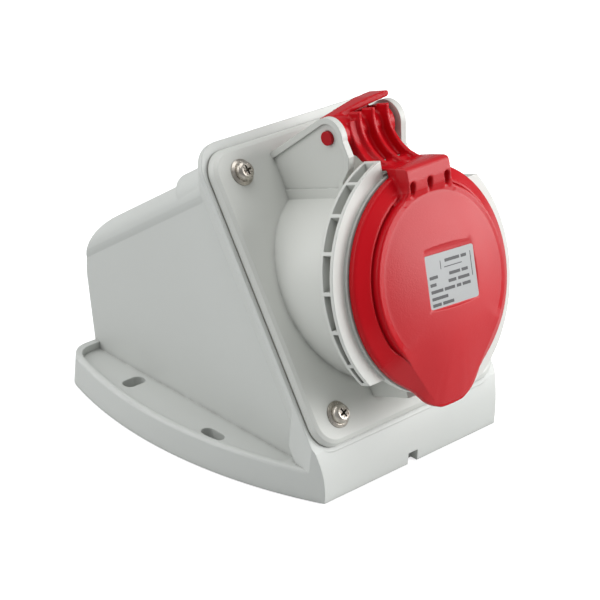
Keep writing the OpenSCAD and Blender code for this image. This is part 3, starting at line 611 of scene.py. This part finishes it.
def ridgeAt(degrees):
    # radius and height of the ridge that runs from the raised face to the tab's corner
    ax, ay = lidFace["ridgeStart"]
    bx, by = lidFace["ridgeEnd"]
    dx, dy = bx - ax, by - ay
    a = math.radians(degrees)
    sx, sy = math.sin(a), math.cos(a)
    r = (ax * dy - ay * dx) / (sx * dy - sy * dx)
    t = math.hypot(r * sx - ax, r * sy - ay) / math.hypot(dx, dy)
    if degrees < math.degrees(math.atan2(bx, by)):
        t = 1.0
    height = lidFace["ridgeHigh"] + (lidFace["ridgeLow"] - lidFace["ridgeHigh"]) * min(1.0, t)
    return min(r, tabReach(degrees) - 1.2), height


def flowPoint(part, r, n, degrees):
    # where a point of the round profile goes once the face flows into the tab
    outline = tabReach(degrees)
    ridgeR, ridgeN = ridgeAt(degrees)
    if part == "side":
        return r + outline - lidFace["rim"], n * 0.86
    if part == "shoulder":
        share = (40.7 - r) / 5.7
        radius = (outline - 0.45) * (1 - share) + (ridgeR + 0.15) * share
        return radius, 2.3 * (1 - share) + (ridgeN - 0.05) * share
    if part == "groove":
        share = (34.75 - r) / 0.7
        return ridgeR + 0.12 * (1 - share), ridgeN + 0.05 * share
    calm = lidFace["calmRadius"]
    if part in ("band", "dome") and r > calm:
        share = (r - calm) / (33.9 - calm)
        reach = ridgeR - 0.1 - calm
        startN = domeHeight(calm)
        startSlope = -2 * lidFace["domeRise"] * calm / lidFace["domeEdge"] ** 2
        endN = ridgeN + 0.12
        endSlope = 1.2 * (endN - startN) / reach
        s2, s3 = share * share, share ** 3
        height = ((2 * s3 - 3 * s2 + 1) * startN + (s3 - 2 * s2 + share) * reach * startSlope
                  + (3 * s2 - 2 * s3) * endN + (s3 - s2) * reach * endSlope)
        return calm + share * reach, height
    return r, n


def lidRings():
    rings = [("inside", r, n) for r, n in lidFace["inside"]]
    for part in ("side", "shoulder", "groove", "band"):
        rings += [(part, r, n) for r, n in lidFace[part]]
    return rings + [("dome", r, domeHeight(r)) for r in lidFace["dome"]]


def makeLidFace():
    rings = lidRings()
    bpy.ops.object.select_all(action="DESELECT")
    bpy.ops.mesh.primitive_circle_add(vertices=lidFace["steps"], radius=rings[0][1] / 1000, fill_type="NGON",
                                      location=(0, 0, rings[0][2] / 1000))
    piece = bpy.context.object
    piece.name = "lidFace"
    bpy.ops.object.transform_apply(location=True, rotation=True, scale=True)
    bpy.ops.object.mode_set(mode="EDIT")
    bpy.ops.mesh.select_all(action="SELECT")
    for (_, r0, n0), (_, r1, n1) in zip(rings, rings[1:]):
        bpy.ops.mesh.extrude_edges_move(TRANSFORM_OT_translate={"value": (0, 0, (n1 - n0) / 1000)})
        bpy.ops.transform.resize(value=(r1 / r0, r1 / r0, 1), center_override=(0, 0, 0))
    bpy.ops.mesh.edge_face_add()
    bpy.ops.mesh.poke()
    bpy.ops.mesh.select_all(action="SELECT")
    bpy.ops.mesh.normals_make_consistent(inside=False)
    bpy.ops.object.mode_set(mode="OBJECT")
    for vertex in piece.data.vertices:
        x, y, z = vertex.co * 1000
        ring = min(vertex.index // lidFace["steps"], len(rings) - 1)
        part, r, n = rings[ring]
        if part == "inside" or math.hypot(x, y) < 1:
            continue
        angle = math.atan2(x, -y) + lidFace["tabLean"]
        degrees = abs(math.degrees(angle))
        if degrees > lidFace["flowTo"]:
            continue
        share = smooth((lidFace["flowTo"] - degrees) / (lidFace["flowTo"] - lidFace["flowFrom"]))
        flowR, flowN = flowPoint(part, r, n, degrees)
        newR, newN = r + (flowR - r) * share, n + (flowN - n) * share
        vertex.co = Vector((x * newR / r, y * newR / r, newN)) / 1000
    return piece


def roundedBlock(name, size, corner, segments=6):
    # a block whose upright edges are rounded, centred on its own middle
    bpy.ops.object.select_all(action="DESELECT")
    bpy.ops.mesh.primitive_cube_add(size=1)
    block = bpy.context.object
    block.name = name
    block.scale = size
    bpy.ops.object.transform_apply(location=False, rotation=False, scale=True)
    bpy.ops.object.mode_set(mode="EDIT")
    bpy.ops.mesh.select_all(action="DESELECT")
    bpy.ops.object.mode_set(mode="OBJECT")
    for edge in block.data.edges:  # only the upright ones
        a, b = (block.data.vertices[i].co for i in edge.vertices)
        edge.select = abs(a.z - b.z) > 1e-6
    bpy.ops.object.mode_set(mode="EDIT")
    bpy.ops.mesh.select_mode(type="EDGE")
    bpy.ops.mesh.bevel(offset=corner, segments=segments, affect="EDGES")
    bpy.ops.object.mode_set(mode="OBJECT")
    return block


# Seat of the label: flat floor and sloping sides (middle and floor in millimetres)
labelSeat = {"middle": (1.35, 1.1), "turn": math.radians(-3.5), "floorSize": (0.0293, 0.0246),
             "corner": 0.0026, "floor": 10.2, "flare": 1.13}


def cutLabelSeat(piece):
    cutter = roundedBlock("seatCutter", (*labelSeat["floorSize"], 0.004), labelSeat["corner"])
    for vertex in cutter.data.vertices:
        if vertex.co.z > 0:
            vertex.co.x *= labelSeat["flare"]
            vertex.co.y *= labelSeat["flare"]
    mx, my = labelSeat["middle"]
    spot = Matrix.Translation((mx / 1000, my / 1000, labelSeat["floor"] / 1000 + 0.002))
    settle(cutter, spot @ Matrix.Rotation(labelSeat["turn"], 4, "Z"))
    cutWith(piece, cutter)


# Three drop-shaped holes where the neck meets the face (millimetres)
neckSlots = {"across": (-9.3, 0.0, 9.3), "start": 32.3, "narrow": 0.9, "wide": 1.4, "length": 3.6}


def cutNeckSlots(piece):
    for x in neckSlots["across"]:
        bpy.ops.object.select_all(action="DESELECT")
        bpy.ops.mesh.primitive_cylinder_add(vertices=32, radius=neckSlots["narrow"] / 1000, depth=0.008)
        cutter = bpy.context.object
        for vertex in cutter.data.vertices:
            if vertex.co.y > 0:
                grow = neckSlots["wide"] / neckSlots["narrow"]
                reach = vertex.co.y * grow + neckSlots["length"] / 1000
                vertex.co = Vector((vertex.co.x * grow, reach, vertex.co.z))
        settle(cutter, Matrix.Translation((x / 1000, neckSlots["start"] / 1000, 0.0106)))
        cutWith(piece, cutter)


# Lid arm: neck, ribs, knuckles and lever, with the soft edges of a moulding
lidArm = {"low": (-0.0165, 0.0287, -0.050), "high": (0.0165, 0.085, 0.020), "voxel": 0.00036,
          "softness": 0.5, "passes": 4, "web": (-0.0138, 0.0084, 0.0570, 0.0612, 0.0650, 0.0015, -0.0236),
          "pockets": [(-0.0063, -0.0009), (0.0009, 0.0067)], "bend": (0.0588, 0.0039), "pocketRadius": 0.0196,
          "pocketFrom": 0.0440, "pocketUnder": 0.0022, "hinge": (0.0558, -0.0206), "barrel": 0.0058}


def crossRod(x0, x1, centre, radius):
    # a round rod across the arm
    bpy.ops.object.select_all(action="DESELECT")
    bpy.ops.mesh.primitive_cylinder_add(vertices=96, radius=radius, depth=x1 - x0)
    rod = bpy.context.object
    place = Matrix.Translation(((x0 + x1) / 2, centre[0], centre[1])) @ Matrix.Rotation(math.pi / 2, 4, "Y")
    settle(rod, lidPlace() @ place)
    return rod


def makeLeverWeb():
    # a thin wall that joins the barrel to the lever, its top edge rising to the right
    bpy.ops.object.select_all(action="DESELECT")
    bpy.ops.mesh.primitive_cube_add(size=1)
    web = bpy.context.object
    x0, x1, low, topLeft, topRight, thick, back = lidArm["web"]
    for vertex in web.data.vertices:
        left, high = vertex.co.x < 0, vertex.co.y > 0
        top = topLeft if left else topRight
        front = back + (thick if vertex.co.z > 0 else 0)
        vertex.co = Vector((x0 if left else x1, top if high else low, front))
    settle(web, lidPlace())
    return web


def makePocket(x0, x1):
    # the hollow between two ribs, down to the barrel round the pin
    pocket = crossRod(x0, x1, lidArm["bend"], lidArm["pocketRadius"])
    bpy.ops.object.select_all(action="DESELECT")
    bpy.ops.mesh.primitive_cube_add(size=0.1)
    room = bpy.context.object
    corner = (0, lidArm["pocketFrom"] + 0.05, lidArm["pocketUnder"] - 0.05)
    settle(room, lidPlace() @ Matrix.Translation(corner))
    cutWith(pocket, room, "INTERSECT")
    cutWith(pocket, crossRod(x0 - 0.001, x1 + 0.001, lidArm["hinge"], lidArm["barrel"]))
    return pocket


def makeLidArm():
    piece = copySolid("lid", "lidArm")
    low, high = Vector(lidArm["low"]), Vector(lidArm["high"])
    bpy.ops.object.select_all(action="DESELECT")
    bpy.ops.mesh.primitive_cube_add(size=1, location=(low + high) / 2)
    keep = bpy.context.object
    keep.scale = high - low
    bpy.ops.object.transform_apply(location=True, rotation=True, scale=True)
    settle(keep, lidPlace())
    cutWith(piece, keep, "INTERSECT")
    for across in lidArm["pockets"]:
        cutWith(piece, makePocket(*across))
    web = makeLeverWeb()
    only(piece)
    web.select_set(True)
    bpy.ops.object.join()
    useModifier(piece, "REMESH", mode="VOXEL", voxel_size=lidArm["voxel"])
    useModifier(piece, "SMOOTH", factor=lidArm["softness"], iterations=lidArm["passes"])
    return piece


# Label: a thin plate with rows of plain bars and rules, and no lettering
labelPlate = {
    "middle": (1.0, -0.4), "size": (0.0268, 0.0203, 0.00022), "corner": 0.0011, "lift": 0.00002,
    "inkHigh": 0.00003, "barTall": 1.15,
    "rows": [(7.0, [(-2.6, 8.0), (6.2, 3.0)]), (2.0, [(-11.6, 4.4), (-1.0, 6.0), (5.8, 3.4)]),
             (-0.6, [(-11.6, 3.2), (-1.8, 4.2), (3.4, 6.2)]),
             (-3.1, [(-11.6, 6.4), (-4.4, 5.6), (2.2, 2.4), (5.4, 4.4)]),
             (-5.6, [(-11.6, 8.6)]), (-7.9, [(-11.6, 4.6), (-6.2, 6.0)])],
    "rules": [(-3.2, 4.7, 9.6, 0.35), (-5.2, 5.8, 0.35, 3.2), (11.2, 3.4, 0.35, 9.0)],
}


def placeOnLabel(height):
    mx, my = labelPlate["middle"]
    spot = Matrix.Translation((mx / 1000, my / 1000, labelSeat["floor"] / 1000 + height))
    return lidPlace() @ spot @ Matrix.Rotation(labelSeat["turn"], 4, "Z")


def makeLabel():
    size = labelPlate["size"]
    plate = roundedBlock("labelPlate", size, labelPlate["corner"])
    settle(plate, placeOnLabel(size[2] / 2 + labelPlate["lift"]))
    finishPiece(plate, "lid", finishes["label"])
    parts = []
    bars = [(x, y, wide, labelPlate["barTall"]) for y, row in labelPlate["rows"] for x, wide in row]
    for x, y, wide, tall in bars + labelPlate["rules"]:
        rule = roundedBlock("rule", (wide / 1000, tall / 1000, labelPlate["inkHigh"]), 0.0001, 2)
        settle(rule, Matrix.Translation(((x + wide / 2) / 1000, y / 1000, 0)))
        parts.append(rule)
    bpy.ops.object.select_all(action="DESELECT")
    for part in parts:
        part.select_set(True)
    bpy.context.view_layer.objects.active = parts[0]
    bpy.ops.object.join()
    ink = bpy.context.object
    ink.name = "labelBars"
    settle(ink, placeOnLabel(size[2] + labelPlate["lift"] + labelPlate["inkHigh"] / 2))
    finishPiece(ink, "lid", finishes["ink"])
    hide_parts("lid_label")
    print("label made")


def buildLid():
    face = makeLidFace()
    cutLabelSeat(face)
    cutNeckSlots(face)
    settle(face, lidPlace())
    finishPiece(face, "lid", finishes["red_lid"], 40)
    arm = makeLidArm()
    finishPiece(arm, "lid", finishes["red_lid"], 60)
    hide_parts("lid")
    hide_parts("lid")
    print("lid built,", len(face.data.polygons), len(arm.data.polygons))


buildLid()
makeLabel()

# Screws: a pan head with a cross recess and four fine marks between its arms
panelScrew = {
    "headRadius": 0.0038, "headHigh": 0.0026, "shoulder": 0.0015, "shankRadius": 0.0021, "shankLong": 0.013,
    "seatOut": 0.0048, "across": 0.0371, "up": (0.0103, 0.1041), "turns": (0.35, 0.9, 0.15, 1.2),
    "arm": (0.0048, 0.00105, 0.0034), "armFoot": 0.55, "mark": (0.0046, 0.00022, 0.0005), "crown": 30,
}


def makeCutterBlock(size, foot, height, turn):
    bpy.ops.object.select_all(action="DESELECT")
    bpy.ops.mesh.primitive_cube_add(size=1)
    block = bpy.context.object
    for vertex in block.data.vertices:
        if vertex.co.z < 0:
            vertex.co.x *= foot
            vertex.co.y *= foot
    block.scale = size
    bpy.ops.object.transform_apply(location=False, rotation=False, scale=True)
    settle(block, Matrix.Translation((0, 0, height)) @ Matrix.Rotation(turn, 4, "Z"))
    return block


def makeScrewHead():
    look = panelScrew
    bpy.ops.object.select_all(action="DESELECT")
    bpy.ops.mesh.primitive_cylinder_add(vertices=48, radius=look["headRadius"], depth=look["headHigh"],
                                        location=(0, 0, look["headHigh"] / 2))
    head = bpy.context.object
    bpy.ops.object.transform_apply(location=True, rotation=True, scale=True)
    for edge in head.data.edges:
        edge.select = all(head.data.vertices[i].co.z > look["headHigh"] * 0.9 for i in edge.vertices)
    for face in head.data.polygons:
        face.select = False
    bpy.ops.object.mode_set(mode="EDIT")
    bpy.ops.mesh.select_mode(type="EDGE")
    bpy.ops.mesh.bevel(offset=look["shoulder"], segments=6, affect="EDGES")
    bpy.ops.object.mode_set(mode="OBJECT")
    for vertex in head.data.vertices:
        if vertex.co.z > look["headHigh"] * 0.3:
            vertex.co.z -= look["crown"] * (vertex.co.x ** 2 + vertex.co.y ** 2)
    for turn in (0, math.pi / 2):
        cutWith(head, makeCutterBlock(look["arm"], look["armFoot"], look["headHigh"], turn))
    for turn in (math.pi / 4, -math.pi / 4):
        cutWith(head, makeCutterBlock(look["mark"], 1.0, look["headHigh"] - 0.00005, turn))
    bpy.ops.object.select_all(action="DESELECT")
    bpy.ops.mesh.primitive_cylinder_add(vertices=32, radius=look["shankRadius"], depth=look["shankLong"],
                                        location=(0, 0, 0.0004 - look["shankLong"] / 2))
    shank = bpy.context.object
    bpy.ops.object.transform_apply(location=True, rotation=True, scale=True)
    cutWith(head, shank, "UNION")
    return head


def makeScrews():
    model = makeScrewHead()
    for index, turn in enumerate(panelScrew["turns"]):
        screw = bpy.data.objects.new("screwTop%d" % (index + 1), model.data.copy())
        bpy.context.scene.collection.objects.link(screw)
        across = panelScrew["across"] * (1 if index % 2 else -1)
        place = Matrix.Translation((across, panelScrew["up"][index // 2], panelScrew["seatOut"]))
        settle(screw, panelPlace() @ place @ Matrix.Rotation(turn, 4, "Z"))
        finishPiece(screw, "base", finishes["steel"], 35)
        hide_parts("panel_screw_%d" % (index + 1))
    bpy.data.objects.remove(model)
    print("screws made")


makeScrews()

# Spring: round wire wound on the hinge pin
hingeSpring = {"up": 0.0558, "in": -0.0206, "start": 0.0043, "pitch": 0.0014, "turns": 7,
               "coilRadius": 0.0036, "wireRadius": 0.00064, "stepsPerTurn": 36}


def makeSpring():
    look = hingeSpring
    bpy.ops.object.select_all(action="DESELECT")
    bpy.ops.mesh.primitive_circle_add(vertices=14, radius=look["wireRadius"],
                                      location=(0, look["coilRadius"], 0))
    coil = bpy.context.object
    coil.name = "hingeCoil"
    bpy.ops.object.transform_apply(location=True, rotation=True, scale=True)
    rounds, steps = look["turns"] - 1, look["stepsPerTurn"] * look["turns"]
    useModifier(coil, "SCREW", axis="X", screw_offset=look["pitch"] * rounds, iterations=1,
                angle=2 * math.pi * rounds, steps=steps, render_steps=steps)
    bpy.ops.object.mode_set(mode="EDIT")
    bpy.ops.mesh.select_all(action="SELECT")
    bpy.ops.mesh.fill_holes(sides=20)
    bpy.ops.mesh.normals_make_consistent(inside=False)
    bpy.ops.object.mode_set(mode="OBJECT")
    settle(coil, lidPlace() @ Matrix.Translation((look["start"] + look["pitch"] / 2, look["up"], look["in"])))
    finishPiece(coil, "base", finishes["spring"], 50)
    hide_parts("lid_spring")
    print("spring wound")


makeSpring()
